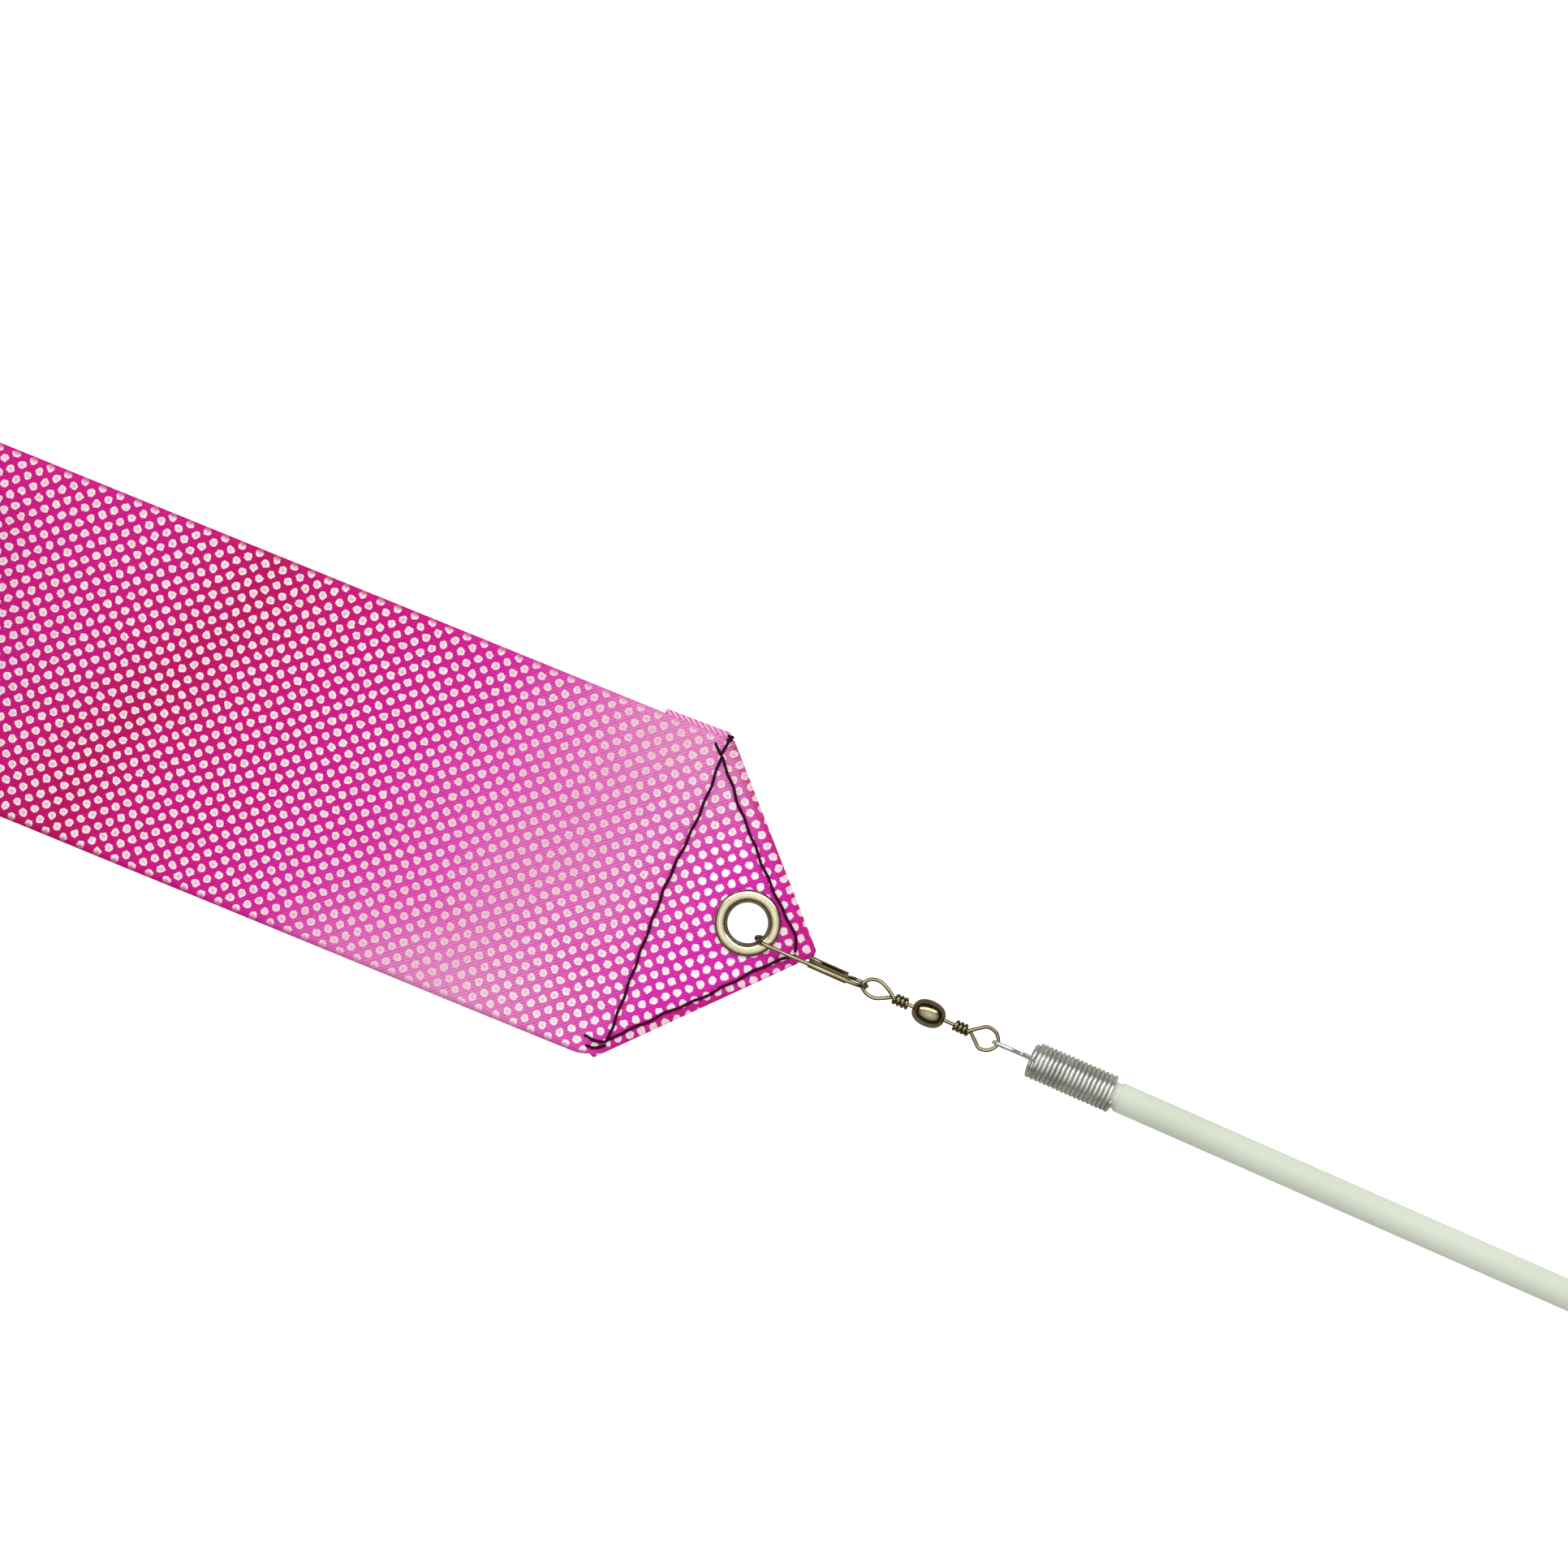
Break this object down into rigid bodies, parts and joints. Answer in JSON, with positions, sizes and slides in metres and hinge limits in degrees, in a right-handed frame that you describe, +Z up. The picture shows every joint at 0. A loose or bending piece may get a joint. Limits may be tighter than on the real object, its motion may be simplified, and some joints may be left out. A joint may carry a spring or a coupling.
{
  "type": "gymnastics ribbon with wand",
  "caption": "Rhythmic gymnastics ribbon on its wand: a dotted satin ribbon hooked by a wire snap and barrel swivel to a slim rod with a rubber grip.",
  "frame": {"origin": "middle of the bounding box's base, on the table that the ribbon and the wand lie on", "axes": "+X along the wand from the ribbon to the grip, +Z up from the table, +Y to the left of +X"},
  "size_m": [0.722, 0.0556, 0.048],
  "materials": {
    "ivory_rod": "matte, pale ivory green",
    "steel_wire": "bright drawn steel wire",
    "grip_rubber": "matte black rubber",
    "black_plastic": "satin black plastic",
    "nickel_wire": "warm nickel plate",
    "satin": "magenta satin with silver foil dots",
    "dark_thread": "dark purple sewing thread"
  },
  "bodies": {
    "wand": {"rod": "ivory_rod", "tip_wire": "steel_wire", "grip_sleeve": "grip_rubber", "grip_collar": "black_plastic", "grip_end_cap": "black_plastic"},
    "rear_eye": {"swivel_rear_eye": "nickel_wire"},
    "barrel": {"swivel_barrel": "nickel_wire"},
    "front_eye": {"swivel_front_eye": "nickel_wire"},
    "snap": {"snap_wire": "nickel_wire", "snap_clip": "nickel_wire"},
    "latch": {"snap_latch_arm": "nickel_wire"},
    "ribbon": {"ribbon_cloth": "satin", "ribbon_roll": "satin", "corner_fold_left": "satin", "corner_fold_right": "satin", "eyelet": "nickel_wire", "eyelet_washer": "nickel_wire", "needle_thread": "dark_thread", "bobbin_thread": "dark_thread"}
  },
  "joints": [
    {"name": "tip_eye_swing", "type": "hinge", "parent": "wand", "child": "rear_eye", "pos_m": [-0.13877, 0.00244, 0.00275], "axis": [0, 0, 1], "range_deg": [-75, 75]},
    {"name": "barrel_spin", "type": "hinge", "parent": "rear_eye", "child": "barrel", "pos_m": [-0.14898, 0.00244, 0.00275], "axis": [1, 0, 0], "continuous": true},
    {"name": "front_eye_spin", "type": "hinge", "parent": "barrel", "child": "front_eye", "pos_m": [-0.14898, 0.00244, 0.00275], "axis": [1, 0, 0], "continuous": true},
    {"name": "snap_swing", "type": "hinge", "parent": "front_eye", "child": "snap", "pos_m": [-0.15938, 0.00244, 0.00275], "axis": [0, 0.9816, 0.1908], "range_deg": [-60, 60]},
    {"name": "latch_squeeze", "type": "hinge", "parent": "snap", "child": "latch", "pos_m": [-0.17373, 0.00282, 0.00079], "axis": [0, -0.9816, -0.1908], "range_deg": [0, 6], "stiffness_Nm_per_rad": 0.02},
    {"name": "ribbon_swing", "type": "hinge", "parent": "snap", "child": "ribbon", "pos_m": [-0.17603, 0.00244, 0.00275], "axis": [0, 0, 1], "range_deg": [-75, 75]}
  ]
}
